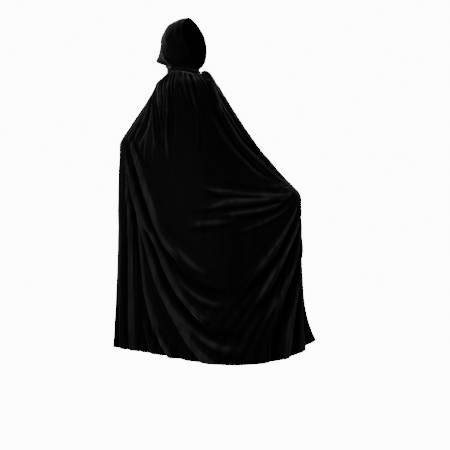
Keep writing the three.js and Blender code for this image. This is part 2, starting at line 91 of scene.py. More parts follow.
# Folds as ridges along places on the flat cloth; a negative height is a trough.
# Columns: places (across, down), width, height, lean (which flank is the steeper)
FOLDS = (
    # from the left lift, down and over to the middle
    (((1250, 345), (1112, 451), (1009, 635), (924, 803), (816, 884), (690, 965)), 13, 13, 0.35),
    (((1226, 345), (1091, 438), (1008, 583), (955, 684), (880, 790)), 11, 5, 0.2),
    (
        ((1240, 385), (1108, 605), (1018, 770), (958, 828), (868, 985), (756, 1105), (659, 1148), (530, 1100)),
        13, 15, 0.4,
    ),
    (((1225, 360), (1140, 480), (1030, 690), (950, 815), (850, 940), (750, 1040)), 12, -8, 0),
    (((1205, 400), (1110, 610), (1045, 790), (961, 1000), (831, 1172), (726, 1283), (640, 1345)), 14, 14, 0.35),
    (((1215, 390), (1080, 660), (999, 825), (946, 915), (881, 1031), (805, 1125), (740, 1230)), 12, -9, 0),
    (((1030, 640), (996, 740), (925, 890), (850, 1005)), 9, 5, 0.2),
    (((1170, 480), (1085, 800), (1060, 1000), (1004, 1150), (932, 1266), (880, 1345)), 15, 9, 0.3),
    (((1180, 480), (1100, 820), (1067, 1055), (1048, 1162), (1001, 1265), (920, 1345)), 12, -9, 0),
    (((1083, 1100), (1071, 1235), (1040, 1345)), 12, -6, 0),
    (((960, 1200), (932, 1243), (871, 1304), (799, 1345)), 11, -7, 0),
    (((1190, 440), (1125, 640), (1100, 860), (1095, 1090), (1095, 1345)), 16, -8, 0),
    (((1200, 420), (1165, 640), (1157, 900), (1161, 1100), (1158, 1345)), 17, 10, 0.3),
    (((1235, 430), (1203, 640), (1200, 900), (1200, 1110), (1194, 1345)), 14, -8, 0),
    (((1262, 400), (1262, 665), (1246, 888), (1251, 1118), (1257, 1345)), 16, 9, -0.2),
    # the swag between the two lifts
    (((900, 850), (815, 940), (756, 985), (690, 1020), (580, 1046), (470, 1050)), 13, -10, 0),
    (((860, 930), (790, 1010), (712, 1056), (620, 1084), (500, 1085)), 14, 8, 0),
    (((890, 1010), (800, 1095), (700, 1178), (640, 1208), (520, 1225), (420, 1215)), 14, -12, 0),
    (((860, 1090), (760, 1190), (660, 1250), (520, 1278), (400, 1262)), 17, 8, 0),
    (((860, 800), (780, 880), (690, 940), (600, 962)), 15, 7, 0),
    # from the right hold, level across the back
    (((120, 668), (197, 680), (347, 647), (454, 627), (563, 607), (638, 587), (750, 535)), 10, 10, -0.4),
    (((200, 684), (350, 656), (456, 638), (566, 620), (670, 600)), 9, -6, 0),
    (((130, 676), (213, 690), (307, 672), (408, 663), (533, 659), (622, 668), (740, 678)), 11, 12, -0.4),
    (((230, 694), (380, 690), (500, 684), (640, 690)), 9, -5, 0),
    (((160, 696), (280, 708), (400, 710), (540, 704), (680, 700)), 10, 7, 0),
    (((200, 716), (300, 726), (400, 731), (540, 722), (700, 716)), 10, -6, 0),
    (((120, 652), (220, 650), (350, 615), (480, 580), (590, 540)), 11, 6, 0),
    (((440, 716), (516, 727), (610, 732), (697, 736), (800, 742)), 15, 9, 0),
    (((150, 712), (260, 745), (400, 770), (560, 800)), 10, 6, 0),
    (((210, 672), (330, 630), (450, 596), (560, 560)), 12, -5, 0),
    # from the right hold, down and over to the middle
    (((100, 705), (150, 755), (232, 825), (317, 889), (387, 945), (470, 1020)), 13, 8, 0.3),
    (((90, 720), (120, 765), (192, 831), (257, 901), (330, 953), (441, 1043), (520, 1085)), 14, -13, 0),
    (((85, 740), (115, 800), (195, 878), (262, 950), (335, 1018), (430, 1110)), 13, 12, 0.3),
    (((75, 760), (105, 820), (200, 930), (259, 995), (335, 1076), (408, 1157), (450, 1215)), 13, -11, 0),
    (((70, 790), (100, 870), (159, 960), (222, 1036), (294, 1111), (390, 1220)), 14, 12, 0.3),
    (((60, 830), (95, 920), (123, 990), (196, 1075), (247, 1161), (294, 1240), (325, 1345)), 14, -12, 0),
    (((60, 860), (90, 990), (150, 1110), (215, 1230), (245, 1345)), 15, 11, 0.3),
    (((50, 880), (80, 1000), (110, 1110), (153, 1190), (200, 1345)), 13, -9, 0),
    (((40, 720), (60, 860), (70, 1056), (110, 1200), (140, 1345)), 15, 10, 0.2),
    (((28, 760), (38, 900), (48, 1100), (70, 1345)), 13, -7, 0),
    # from the shoulders down
    (((999, 48), (1028, 120), (1000, 233), (979, 315), (958, 386), (951, 433)), 9, 9, 0),
    (((965, 120), (950, 233), (935, 315), (925, 380)), 10, -5, 0),
    (((731, 69), (768, 170), (824, 255), (855, 330), (858, 410), (858, 493)), 10, 9, 0),
    (((700, 130), (770, 270), (808, 350), (815, 450)), 10, -5, 0),
    (((895, 90), (880, 150), (900, 240), (906, 313)), 8, 6, 0),
    (((940, 150), (925, 280), (905, 400)), 11, -5, 0),
    (((515, 90), (534, 177), (554, 243), (578, 308), (655, 457)), 9, 5, 0),
    (((625, 90), (629, 165), (654, 239), (680, 318)), 9, 4, 0),
    (((270, 90), (317, 155), (353, 255), (374, 309)), 9, 6, 0),
    (((1120, 110), (1135, 240), (1180, 360)), 12, 7, 0),
    (((1085, 110), (1090, 240), (1120, 380)), 12, -6, 0),
    # along the upper right edge, down to the hold
    (((340, 210), (315, 330), (295, 409), (236, 498), (184, 590), (100, 665)), 14, 9, 0.4),
    (((300, 190), (262, 340), (225, 440), (180, 560), (110, 655)), 12, -6, 0),
    (((400, 190), (380, 330), (345, 440), (290, 545), (180, 650)), 14, -6, 0),
    (((450, 200), (430, 330), (400, 430), (340, 530), (220, 640)), 15, 6, 0),
    (((230, 130), (185, 330), (140, 500), (90, 625)), 12, 7, 0.3),
    (((165, 120), (120, 330), (85, 500), (60, 610)), 12, -5, 0),
    # the left front, behind
    (((1340, 330), (1370, 800), (1345, 1345)), 26, 9, 0.2),
    (((1290, 330), (1300, 800), (1275, 1345)), 20, -6, 0),
    (((1440, 360), (1455, 850), (1440, 1345)), 28, 10, -0.2),
    (((1395, 350), (1410, 850), (1395, 1345)), 20, -6, 0),
    (((1500, 330), (1510, 800), (1500, 1345)), 20, -5, 0),
    (((1300, 320), (1330, 700), (1312, 1345)), 15, 4, 0),
)

# Creases that fan out from where the cloth is lifted.
# Columns: across and down of the place, creases in a full turn, depth, nearest and farthest reach,
# and how steeply down a crease has to run to show (-2: they run all round)
FANS = (
    (40, 655, 34, 2.6, 70, 330, -2),
    (1258, 305, 36, 2.8, 60, 420, 0.35),
    (40, 655, 88, 2.6, 220, 1150, 0.3),
)

# Hood arches, as in the part. Columns: place on the neck ring, jaw, temple, top, and centre peak
HOOD_ARCHES = (
    (45, (60, 67, 70), (35, 84, 180), (15, 251), 0),
    (80, (17, 82, 68), (-2, 88, 174), (-20, 250), 0),
    (112, (-32, 84, 68), (-44, 86, 165), (-60, 241), 0),
    (138, (-72, 70, 68), (-82, 70, 153), (-96, 228), 0.1),
    (156, (-92, 48, 63), (-114, 42, 136), (-130, 182), 0.5),
    (168, (-92, 30, 52), (-131, 22, 100), (-153, 120), 0.9),
    (175, (-87, 18, 43), (-124, 10, 60), (-150, 70), 1),
    (180, (-80, 0, 28), (-95, 0, 33), (-108, 40), 1),
)
HOOD_AXIS = np.array((0.0, -14.0))
HOOD_TURN, HOOD_TURN_HEIGHT = 80.0, 110.0
HOOD_STITCH = 0.05  # from the hood's front edge to its stitches, as a share


def smooth(low, high, x):
    t = np.clip((x - low) / (high - low), 0, 1)
    return t * t * (3 - 2 * t)


def through(places, rows, x):
    """A smooth curve of the rows at their places, read at x."""
    places, rows = np.asarray(places, float), np.asarray(rows, float)
    rows = rows.reshape(len(places), -1)
    gap = np.diff(places)[:, None]
    rise = np.diff(rows, axis=0) / gap
    slope = np.empty_like(rows)
    slope[1:-1] = (rise[:-1] * gap[1:] + rise[1:] * gap[:-1]) / (gap[1:] + gap[:-1])
    slope[0], slope[-1] = rise[0], rise[-1]
    i = np.clip(np.searchsorted(places, x, side="right") - 1, 0, len(places) - 2)
    h, t = gap[i], ((x - places[i]) / gap[i, 0])[:, None]
    return (
        (2 * t**3 - 3 * t**2 + 1) * rows[i]
        + (t**3 - 2 * t**2 + t) * h * slope[i]
        + (3 * t**2 - 2 * t**3) * rows[i + 1]
        + (t**3 - t**2) * h * slope[i + 1]
    )


def unit(v):
    return v / np.maximum(np.linalg.norm(v, axis=-1, keepdims=True), 1e-9)


def neck_radial(turn):
    """Directions straight out from the neck; turn is in radians from the middle of the throat."""
    return np.stack([-np.sin(turn), -np.cos(turn), 0 * turn], axis=-1)


def neck_point(degrees, rise=0.0, out=0.0):
    """Places on the tilted neck seam; degrees run from the throat over the cloak's right side."""
    turn = np.radians(degrees)
    return np.stack(
        [
            -(NECK_RADIUS + out) * np.sin(turn),
            -(NECK_RADIUS + out) * np.cos(turn),
            NECK_LEVEL - NECK_TILT * np.cos(turn) + rise,
        ],
        axis=-1,
    )


def hang_surface(across, down):
    """Points of the cloth without its folds, for every place across and every place down."""
    places = [line[0] for line in HANG_LINES]

    def size(column):
        return through(places, [line[column] for line in HANG_LINES], across)

    neck = neck_point(OPEN_DEG + (360 - 2 * OPEN_DEG) * across / WIDTH, -SEAM_GAP, NECK_STEP)
    shoulder, bend, hem = size(1), size(3), size(5)
    sag, late = np.maximum(size(6), 0), np.maximum(size(7), 1)
    first = np.linalg.norm(shoulder - neck, axis=1)[:, None]
    second = np.linalg.norm(bend - shoulder, axis=1)[:, None]
    third = np.linalg.norm(hem - bend, axis=1)[:, None]
    soft = np.minimum(size(2), 0.45 * np.minimum(first, second))
    soft_bend = np.minimum(size(4), 0.45 * np.minimum(second, third))
    corners = (
        shoulder + unit(neck - shoulder) * soft,
        shoulder + unit(bend - shoulder) * soft,
        bend + unit(shoulder - bend) * soft_bend,
        bend + unit(hem - bend) * soft_bend,
    )
    t = np.linspace(0, 1, 25)[None, :, None]

    def straight(a, b):
        return a[:, None] * (1 - t) + b[:, None] * t

    def rounded(a, over, b):
        return a[:, None] * (1 - t) ** 2 + 2 * over[:, None] * t * (1 - t) + b[:, None] * t**2

    middle = straight(corners[1], corners[2])
    middle[..., 2] -= sag * np.sin(np.pi * t[..., 0])
    low = straight(corners[3], hem)
    out = t ** late[:, :, None]
    low[..., :2] = (corners[3][:, None] * (1 - out) + hem[:, None] * out)[..., :2]
    pieces = (
        straight(neck, corners[0]),
        rounded(corners[0], shoulder, corners[1])[:, 1:],
        middle[:, 1:],
        rounded(corners[2], bend, corners[3])[:, 1:],
        low[:, 1:],
    )
    lines = np.concatenate(pieces, axis=1)
    steps = np.linalg.norm(np.diff(lines, axis=1), axis=2)
    reach = np.concatenate([np.zeros((len(across), 1)), np.cumsum(steps, axis=1)], axis=1)
    points = np.empty((len(across), len(down), 3))
    for i in range(len(across)):
        wanted = down / LENGTH * reach[i, -1]
        for axis in range(3):
            points[i, :, axis] = np.interp(wanted, reach[i], lines[i, :, axis])
    return points


def gather_height(across, down):
    """Uneven pleats let out from the neck seam, with fine ones between them and small puckers on top."""
    wander = 0.22 * np.sin(across / 61) + 0.16 * np.sin(across / 23.7 + 1.3)
    turn = across / WIDTH * GATHERS + wander
    reach = 215 + 70 * np.sin(turn * 2.1 + 0.7) + 45 * np.sin(turn * 0.83)
    strength = 0.78 + 0.22 * np.sin(turn * 3.7 + 2)
    grown = smooth(-8, 45, down)
    left = 1 - smooth(0.25 * reach, 1.15 * reach, down)
    wave = np.sin(2 * np.pi * turn) + 0.22 * np.sin(4 * np.pi * turn + 0.8)
    fine_turn = 2.37 * turn + 0.3 * np.sin(turn * 1.9) + 0.12 * np.sin(down / 83 + turn)
    fine_reach = 330 + 130 * np.sin(fine_turn * 1.31 + 2) + 60 * np.sin(fine_turn * 0.57)
    fine_left = 1 - smooth(0.3 * fine_reach, 1.2 * fine_reach, down)
    crest = (np.sin(np.pi * fine_turn) ** 2 + 0.04) ** 0.75
    fine = 3.2 * (0.6 + 0.4 * np.sin(fine_turn * 2.3)) * smooth(4, 40, down) * fine_left * (0.55 - crest)
    puckers = smooth(0, 7, down) * (1 - smooth(14, 70 + 25 * np.sin(turn * 1.7), down))
    small = np.sin(2 * np.pi * 2.9 * turn + 1.5 * np.sin(turn * 1.3))
    return 5.4 * strength * grown * left * wave + fine + 1.0 * puckers * small


def shoulder_puff(across, down):
    """The cloth stands up over the right shoulder, where the lift gives it slack."""
    low = smooth(4, 24, down) * (1 - smooth(45, 120, down))
    low = low * smooth(10, 60, across) * (1 - smooth(190, 300, across))
    high = smooth(0, 10, down) * (1 - smooth(40, 110, down))
    high = high * smooth(160, 230, across) * (1 - smooth(330, 400, across))
    return 11 * low + 15 * high


def hem_height(across, down):
    """Shallow waves that open toward the hem: long on the left, and only at the hem under the swags."""
    free = smooth(1030, 1130, across) + 0.55 * (1 - smooth(60, 330, across))
    start = 620 + 480 * (1 - np.clip(free, 0, 1))
    grown = np.clip((down - start) / (LENGTH - start), 0, 1) ** 1.6
    depth = 3.2 + 5.3 * np.clip(free, 0, 1)
    turn = across / 92 + 0.32 * np.sin(across / 143) + 0.18 * np.sin(across / 57 + 2)
    small = np.sin(2 * np.pi * across / 37 + 2.2 * np.sin(across / 120)) * smooth(1000, LENGTH, down)
    wide = np.sin(2 * np.pi * turn) + 0.3 * np.sin(2 * np.pi * turn * 0.47 + 1)
    return grown * depth * wide + 1.2 * small


def fold_height(across, down):
    """The ridges and troughs of the table, each rising from its ends and widening along its way."""
    total = np.zeros_like(across)
    for places, width, height, lean in FOLDS:
        places = np.array(places, float)
        reach = np.append(0, np.cumsum(np.linalg.norm(np.diff(places, axis=0), axis=1)))
        path = through(reach, places, np.linspace(0, reach[-1], 41))
        low, high = path.min(axis=0) - 4.5 * width, path.max(axis=0) + 4.5 * width
        near = (across > low[0]) & (across < high[0]) & (down > low[1]) & (down < high[1])
        a, d = across[near], down[near]
        best, along, signed = np.full(a.shape, np.inf), np.zeros(a.shape), np.zeros(a.shape)
        for k in range(40):
            step = path[k + 1] - path[k]
            da, dd = a - path[k, 0], d - path[k, 1]
            share = np.clip((da * step[0] + dd * step[1]) / (step @ step), 0, 1)
            away = (da - share * step[0]) ** 2 + (dd - share * step[1]) ** 2
            closer = away < best
            best = np.where(closer, away, best)
            along = np.where(closer, (k + share) / 40, along)
            signed = np.where(closer, (step[0] * dd - step[1] * da) / np.hypot(*step), signed)
        ends = smooth(0, 0.22, along)
        if places[-1, 1] < LENGTH:
            ends = ends * (1 - smooth(0.62, 1, along))
        wide = 1.12 * width * (0.8 + 0.5 * along)
        u = np.sqrt(best) / wide / (1 + 0.8 * lean * np.tanh(1.6 * signed / wide))
        shape = np.exp(-(u**2)) - 0.2 * np.exp(-(((u - 2.1) / 0.8) ** 2))
        total[near] += height * ends * shape
    return total


def fan_height(across, down):
    """Small creases that fan out from the two places where the cloth is lifted."""
    total = np.zeros_like(across)
    for at_across, at_down, count, depth, nearest, farthest, steep in FANS:
        a, d = across - at_across, down - at_down
        reach, turn = np.hypot(a, d), np.arctan2(d, a)
        rise = smooth(0.2 * nearest, 2.2 * nearest, reach) * (1 - smooth(0.3 * farthest, farthest, reach))
        rise = rise * smooth(steep, steep + 0.45, np.sin(turn))
        wander = 1.1 * np.sin(3 * turn + 0.4) + 0.5 * np.sin(reach / 47)
        uneven = 0.65 + 0.35 * np.sin(7 * turn + 1.1)
        total += depth * rise * uneven * np.sin(count * turn + wander)
    return total


# Faint ripples between the folds. Columns: length across, depth, wander down, start
RIPPLES = ((58, 1.1, 190, 0.3), (37, 0.8, 130, 2.1), (23, 0.45, 90, 4.4), (15, 0.25, 60, 1.2))


def drift_height(across, down):
    """Long faint ripples that hang between the folds and break up their flanks."""
    total = np.zeros_like(across)
    for length, depth, wander, phase in RIPPLES:
        sway = 0.5 * np.sin(down / wander + phase) + 0.3 * np.sin(down / (0.41 * wander) + 2 * phase)
        patch = 0.6 + 0.4 * np.sin(across / (3.1 * length) + down / (5.3 * length) + phase)
        total += depth * patch * np.sin(2 * np.pi * (across / length + sway) + phase)
    strength = 1 - 0.75 * smooth(380, 620, down) * (1 - smooth(1050, 1150, across))
    return total * smooth(60, 260, down) * strength


def streak_height(across, down):
    """Fine long creases in the strip that hangs from the left lift, and faint ones on the upper back."""
    sway = 0.55 * np.sin(down / 160 + across / 70) + 0.25 * np.sin(down / 67 + across / 23)
    fine = np.sin(2 * np.pi * (across / 21 + sway)) * (0.5 + 0.5 * np.sin(down / 95 + across / 31))
    strip = smooth(1050, 1110, across) * (1 - smooth(1300, 1340, across)) * smooth(330, 480, down)
    upper = 0.6 * smooth(430, 520, across) * smooth(60, 160, down) * (1 - smooth(260, 430, down))
    return 1.1 * fine * np.maximum(strip, upper)


def edge_distance(across, down):
    return np.minimum(np.minimum(across, WIDTH - across), LENGTH - down)


def sewing_height(across, down):
    """Dips and puckers along the two joins, the front edges and the hem."""
    total = np.zeros_like(across)
    for seam in (RIGHT_SEAM, LEFT_SEAM):
        away = np.abs(across - seam)
        pull = np.sin(down / 3.7 + 2 * np.sin(down / 31)) * np.exp(-((away / 11) ** 2))
        total += -1.2 * np.exp(-((away / 2.6) ** 2)) + 0.3 * pull * smooth(40, 120, down)
    edge = edge_distance(across, down)
    along = np.where(LENGTH - down < np.minimum(across, WIDTH - across), across, down)
    pull = np.sin(along / 3.1 + 1.7 * np.sin(along / 29)) * np.exp(-(((edge - HEM_TURN) / 9) ** 2))
    stitched = np.exp(-(((edge - HEM_TURN + 1.2) / 0.9) ** 2))
    return total + 0.35 * pull - 0.3 * stitched


# Places across and down where the fine cloth has its points
TURN_STEPS = np.array((0, 1.2, 3.5, 7, 9.3, HEM_STITCH, 12, 13.2, 15.5))
SEAM_STEPS = np.array((0, 1.1, 2.3, 3.8, 6))
across_places = np.unique(
    np.concatenate(
        [
            TURN_STEPS,
            np.linspace(19, RIGHT_SEAM - 9.5, 109),
            RIGHT_SEAM - SEAM_STEPS,
            RIGHT_SEAM + SEAM_STEPS,
            np.linspace(RIGHT_SEAM + 9.5, LEFT_SEAM - 9.5, 173),
            LEFT_SEAM - SEAM_STEPS,
            LEFT_SEAM + SEAM_STEPS,
            np.linspace(LEFT_SEAM + 9.5, WIDTH - 19, 109),
            WIDTH - TURN_STEPS,
        ]
    ).round(4)
)
down_places = np.unique(
    np.concatenate(
        [
            np.linspace(0, 24, 11),
            np.linspace(28, 180, 36),
            np.linspace(186, 580, 67),
            np.linspace(583.5, 765, 54),
            np.linspace(771, LENGTH - 20, 87),
            LENGTH - TURN_STEPS,
        ]
    ).round(4)
)
right_seam = int(np.abs(across_places - RIGHT_SEAM).argmin())
left_seam = int(np.abs(across_places - LEFT_SEAM).argmin())


def outward(points, across, down):
    """Outward normals of a grid of points."""
    over = np.gradient(points, across, axis=0)
    along = np.gradient(points, down, axis=1)
    return unit(np.cross(over, along))


def build_cloth():
    """The whole body's middle surface with every fold, its normals, and the grid of places."""
    plain = hang_surface(across_places, down_places)
    across, down = np.meshgrid(across_places, down_places, indexing="ij")
    gathers, folds = gather_height(across, down), fold_height(across, down)
    height = gathers + shoulder_puff(across, down) + hem_height(across, down) + FOLD_DEPTH * folds
    streaks = streak_height(across, down)
    creases = fan_height(across, down)
    height += creases + drift_height(across, down) + streaks
    height *= smooth(-30, 40, down)
    height += sewing_height(across, down) * smooth(0, 12, down)
    height = np.where(down < 0.01, 0, height)
    folded = plain + outward(plain, across_places, down_places) * height[..., None]
    # the top edge is turned in under the neck band
    turn = np.radians(OPEN_DEG + (360 - 2 * OPEN_DEG) * across / WIDTH)
    folded -= neck_radial(turn) * (NECK_STEP * (1 - smooth(0, 5, down)))[..., None]
    normals = outward(folded, across_places, down_places)
    normals[:, 0, 2] = 0
    # painted light and shade: the pile's colour is made paler on the crests of folds, gathers, streaks and
    # creases as a painted highlight, darker in their troughs as painted shade, and darker near the neck seam
    pleats, neck_side = gathers * (1 - smooth(180, 420, down)), smooth(200, 600, down)
    painted_light = smooth(1, 9, folds) - smooth(1, 10, -folds) + 0.8 * np.tanh(pleats / 2.5)
    painted_light += 0.45 * streaks + 0.2 * creases - 0.35 * (1 - neck_side)
    painted_light = np.clip(painted_light, -1, 1)
    return folded, unit(normals), across, down, painted_light


def make_mesh(name, points, faces, uv, materials, face_materials=None):
    """A mesh object from quads given as rows of four point numbers, in millimetres."""
    mesh = bpy.data.meshes.new(name)
    faces = np.asarray(faces, dtype=np.int32)
    mesh.vertices.add(len(points))
    mesh.vertices.foreach_set("co", (np.asarray(points) / 1000).astype(np.float32).ravel())
    mesh.loops.add(faces.size)
    mesh.loops.foreach_set("vertex_index", faces.ravel())
    mesh.polygons.add(len(faces))
    mesh.polygons.foreach_set("loop_start", np.arange(0, faces.size, 4, dtype=np.int32))
    mesh.polygons.foreach_set("use_smooth", np.ones(len(faces), dtype=bool))
    layer = mesh.uv_layers.new(name="cloth")
    layer.data.foreach_set("uv", (np.asarray(uv)[faces.ravel()] / 1000).astype(np.float32).ravel())
    for material in materials:
        mesh.materials.append(material)
    if face_materials is not None:
        mesh.polygons.foreach_set("material_index", np.asarray(face_materials, dtype=np.int32))
    mesh.update(calc_edges=True)
    mesh.validate()
    mesh.set_sharp_from_angle(angle=math.radians(75))
    piece = add_object(name, mesh)
    return piece


def shell(name, outside, inside, uv, materials, mirrored=False, painted_light=None):
    """A closed wall between two grids of points: the first material outside, the second inside."""
    columns, rows = outside.shape[:2]
    numbers = np.arange(columns * rows).reshape(columns, rows)
    back = numbers + columns * rows

    def quads(a, b, c, d):
        return np.stack([a.ravel(), b.ravel(), c.ravel(), d.ravel()], axis=1)

    front_faces = quads(numbers[:-1, :-1], numbers[1:, :-1], numbers[1:, 1:], numbers[:-1, 1:])
    back_faces = quads(back[:-1, :-1], back[:-1, 1:], back[1:, 1:], back[1:, :-1])
    rims = (
        quads(numbers[:-1, 0], back[:-1, 0], back[1:, 0], numbers[1:, 0]),
        quads(numbers[1:, -1], back[1:, -1], back[:-1, -1], numbers[:-1, -1]),
        quads(numbers[0, 1:], back[0, 1:], back[0, :-1], numbers[0, :-1]),
        quads(back[-1, :-1], back[-1, 1:], numbers[-1, 1:], numbers[-1, :-1]),
    )
    faces = np.concatenate([front_faces, back_faces, *rims])
    if mirrored:
        faces = faces[:, ::-1]
    kinds = np.zeros(len(faces), dtype=np.int32)
    kinds[len(front_faces) : 2 * len(front_faces)] = len(materials) - 1
    points = np.concatenate([outside.reshape(-1, 3), inside.reshape(-1, 3)])
    places = np.concatenate([uv.reshape(-1, 2)] * 2)
    piece = make_mesh(name, points, faces, places, materials, kinds)
    if painted_light is not None:
        attribute = piece.data.attributes.new("painted_light", "FLOAT", "POINT")
        # painted light and shade: the outside carries the painted highlight on crests and painted shade in
        # troughs; a crest outside is a hollow inside, which gets a weaker painted shade on the back of the cloth
        values = np.concatenate([painted_light.ravel(), -0.4 * painted_light.ravel()])
        attribute.data.foreach_set("value", values.astype(np.float32))
    return piece


# Materials
def new_material(name):
    material = bpy.data.materials.new(name)
    material.use_nodes = True
    shader = material.node_tree.nodes["Principled BSDF"]
    return material, material.node_tree, shader


def link_noise(tree, source, scale, stretch, detail=3.0, roughness=0.6):
    """A noise pattern on the cloth's own places, stretched down the cloth."""
    mapping = tree.nodes.new("ShaderNodeMapping")
    mapping.inputs["Scale"].default_value = (1, 1 / stretch, 1)
    tree.links.new(source, mapping.inputs["Vector"])
    noise = tree.nodes.new("ShaderNodeTexNoise")
    noise.inputs["Scale"].default_value = scale
    noise.inputs["Detail"].default_value = detail
    noise.inputs["Roughness"].default_value = roughness
    tree.links.new(mapping.outputs["Vector"], noise.inputs["Vector"])
    return noise.outputs["Fac"]


def link_ramp(tree, factor, low, high, from_min=0.3, from_max=0.7):
    ramp = tree.nodes.new("ShaderNodeValToRGB")
    ramp.color_ramp.elements[0].position = from_min
    ramp.color_ramp.elements[1].position = from_max
    ramp.color_ramp.elements[0].color = (*low, 1)
    ramp.color_ramp.elements[1].color = (*high, 1)
    tree.links.new(factor, ramp.inputs["Fac"])
    return ramp.outputs["Color"]


# painted highlight on fold crests and painted shade in troughs: how strong, and how sharply it rises
PAINTED_LIGHT_STRENGTH = 0.8  # how much the crests and troughs differ
CONTRAST = 3.4  # how sharply the pile turns pale on a crest
SHEEN_ROUGHNESS = 0.33


def velvet(name, dark, light, sheen, pile_depth):
    """Short black pile: dark where it stands up, paler in random brushed patches, with a painted highlight on the
    crests of the folds and painted shade in their troughs.
    """
    material, tree, shader = new_material(name)
    uv = tree.nodes.new("ShaderNodeUVMap")
    uv.uv_map = "cloth"
    brushed = link_noise(tree, uv.outputs["UV"], 26, 5, 5)
    fine = link_noise(tree, uv.outputs["UV"], 420, 1.6, 2)
    mix = tree.nodes.new("ShaderNodeMath")
    mix.operation = "MULTIPLY_ADD"
    mix.inputs[1].default_value = 0.35
    tree.links.new(fine, mix.inputs[0])
    scaled = tree.nodes.new("ShaderNodeMath")
    scaled.operation = "MULTIPLY"
    scaled.inputs[1].default_value = 0.68
    tree.links.new(brushed, scaled.inputs[0])
    tree.links.new(scaled.outputs[0], mix.inputs[2])
    # painted highlight makes the pile's colour paler on the crests of the folds, and painted shade keeps it dark
    # in their troughs
    painted_light = tree.nodes.new("ShaderNodeAttribute")
    painted_light.attribute_name = "painted_light"
    paler = tree.nodes.new("ShaderNodeMapRange")
    paler.inputs["From Min"].default_value = -1
    paler.inputs["To Min"].default_value = 1 - PAINTED_LIGHT_STRENGTH
    paler.inputs["To Max"].default_value = 1 + PAINTED_LIGHT_STRENGTH
    tree.links.new(painted_light.outputs["Fac"], paler.inputs["Value"])
    power = tree.nodes.new("ShaderNodeMath")
    power.operation = "POWER"
    power.inputs[1].default_value = CONTRAST
    tree.links.new(paler.outputs["Result"], power.inputs[0])
    colour = tree.nodes.new("ShaderNodeVectorMath")
    colour.operation = "SCALE"
    tree.links.new(link_ramp(tree, mix.outputs[0], dark, light), colour.inputs[0])
    tree.links.new(power.outputs[0], colour.inputs["Scale"])
    tree.links.new(colour.outputs[0], shader.inputs["Base Color"])
    rough = tree.nodes.new("ShaderNodeMapRange")
    rough.inputs["To Min"].default_value = 0.5
    rough.inputs["To Max"].default_value = 0.8
    tree.links.new(brushed, rough.inputs["Value"])
    tree.links.new(rough.outputs["Result"], shader.inputs["Roughness"])
    shader.inputs["Specular IOR Level"].default_value = 0.04
    shader.inputs["Sheen Weight"].default_value = sheen
    shader.inputs["Sheen Roughness"].default_value = SHEEN_ROUGHNESS
    shader.inputs["Sheen Tint"].default_value = (0.62, 0.63, 0.66, 1)
    bump = tree.nodes.new("ShaderNodeBump")
    bump.inputs["Distance"].default_value = 0.0004
    bump.inputs["Strength"].default_value = pile_depth
    tree.links.new(fine, bump.inputs["Height"])
    tree.links.new(bump.outputs["Normal"], shader.inputs["Normal"])
    return material


pile = velvet("velvet_pile", (0.0004, 0.0004, 0.0005), (0.0045, 0.0045, 0.005), 0.6, 0.5)
knit_back = velvet("velvet_back", (0.003, 0.003, 0.0034), (0.009, 0.009, 0.01), 0.1, 0.7)
band_pile = velvet("band_pile", (0.001, 0.001, 0.0011), (0.006, 0.006, 0.0066), 0.6, 0.5)

thread, thread_tree, thread_shader = new_material("black_thread")
coordinates = thread_tree.nodes.new("ShaderNodeTexCoord")
twist = link_noise(thread_tree, coordinates.outputs["Object"], 900, 1)
thread_tree.links.new(
    link_ramp(thread_tree, twist, (0.002, 0.002, 0.0022), (0.006, 0.006, 0.0066)),
    thread_shader.inputs["Base Color"],
)
thread_shader.inputs["Roughness"].default_value = 0.7
thread_shader.inputs["Specular IOR Level"].default_value = 0.1

lacquer, lacquer_tree, lacquer_shader = new_material("black_lacquered_wire")
lacquer_place = lacquer_tree.nodes.new("ShaderNodeTexCoord")
worn = link_noise(lacquer_tree, lacquer_place.outputs["Object"], 700, 1)
lacquer_tree.links.new(
    link_ramp(lacquer_tree, worn, (0.012, 0.012, 0.013), (0.05, 0.05, 0.052), 0.45, 0.75),
    lacquer_shader.inputs["Base Color"],
)
lacquer_shader.inputs["Roughness"].default_value = 0.35
lacquer_shader.inputs["Metallic"].default_value = 0.7

# The body: three widths of one draped cloth
cloth, cloth_normals, cloth_across, cloth_down, cloth_painted_light = build_cloth()
cloth_uv = np.stack([cloth_across, cloth_down], axis=-1)


def body_width(name, first, last):
    """One width of the cloth, from a front edge or a join to the next."""
    points, normals, across, down, painted_light, uv = (
        grid[first : last + 1]
        for grid in (cloth, cloth_normals, cloth_across, cloth_down, cloth_painted_light, cloth_uv)
    )
    turned_in = 1 - smooth(HEM_TURN - 0.6, HEM_TURN + 0.6, edge_distance(across, down))
    turned_in *= smooth(4, 12, down)
    outside = points + normals * (CLOTH / 2)
    inside = points - normals * (CLOTH / 2 + HEM_PLY * turned_in[..., None])
    return shell(name, outside, inside, uv, [pile, knit_back], painted_light=painted_light)


right_front = body_width("right_front_velvet", 0, right_seam)
back = body_width("back_velvet", right_seam, left_seam)
left_front = body_width("left_front_velvet", left_seam, len(across_places) - 1)


def join_tape(name, seam):
    """The strip that covers a join, inside the cloth."""
    columns, rows = np.arange(seam - 7, seam + 8), np.arange(2, len(down_places) - 9)
    points, normals, uv = (grid[columns][:, rows] for grid in (cloth, cloth_normals, cloth_uv))
    outside, inside = points - normals * (CLOTH / 2 + CLEAR), points - normals * (CLOTH / 2 + 0.8)
    return shell(name, outside, inside, uv, [knit_back])


tapes = [join_tape("right_join_tape", right_seam), join_tape("left_join_tape", left_seam)]


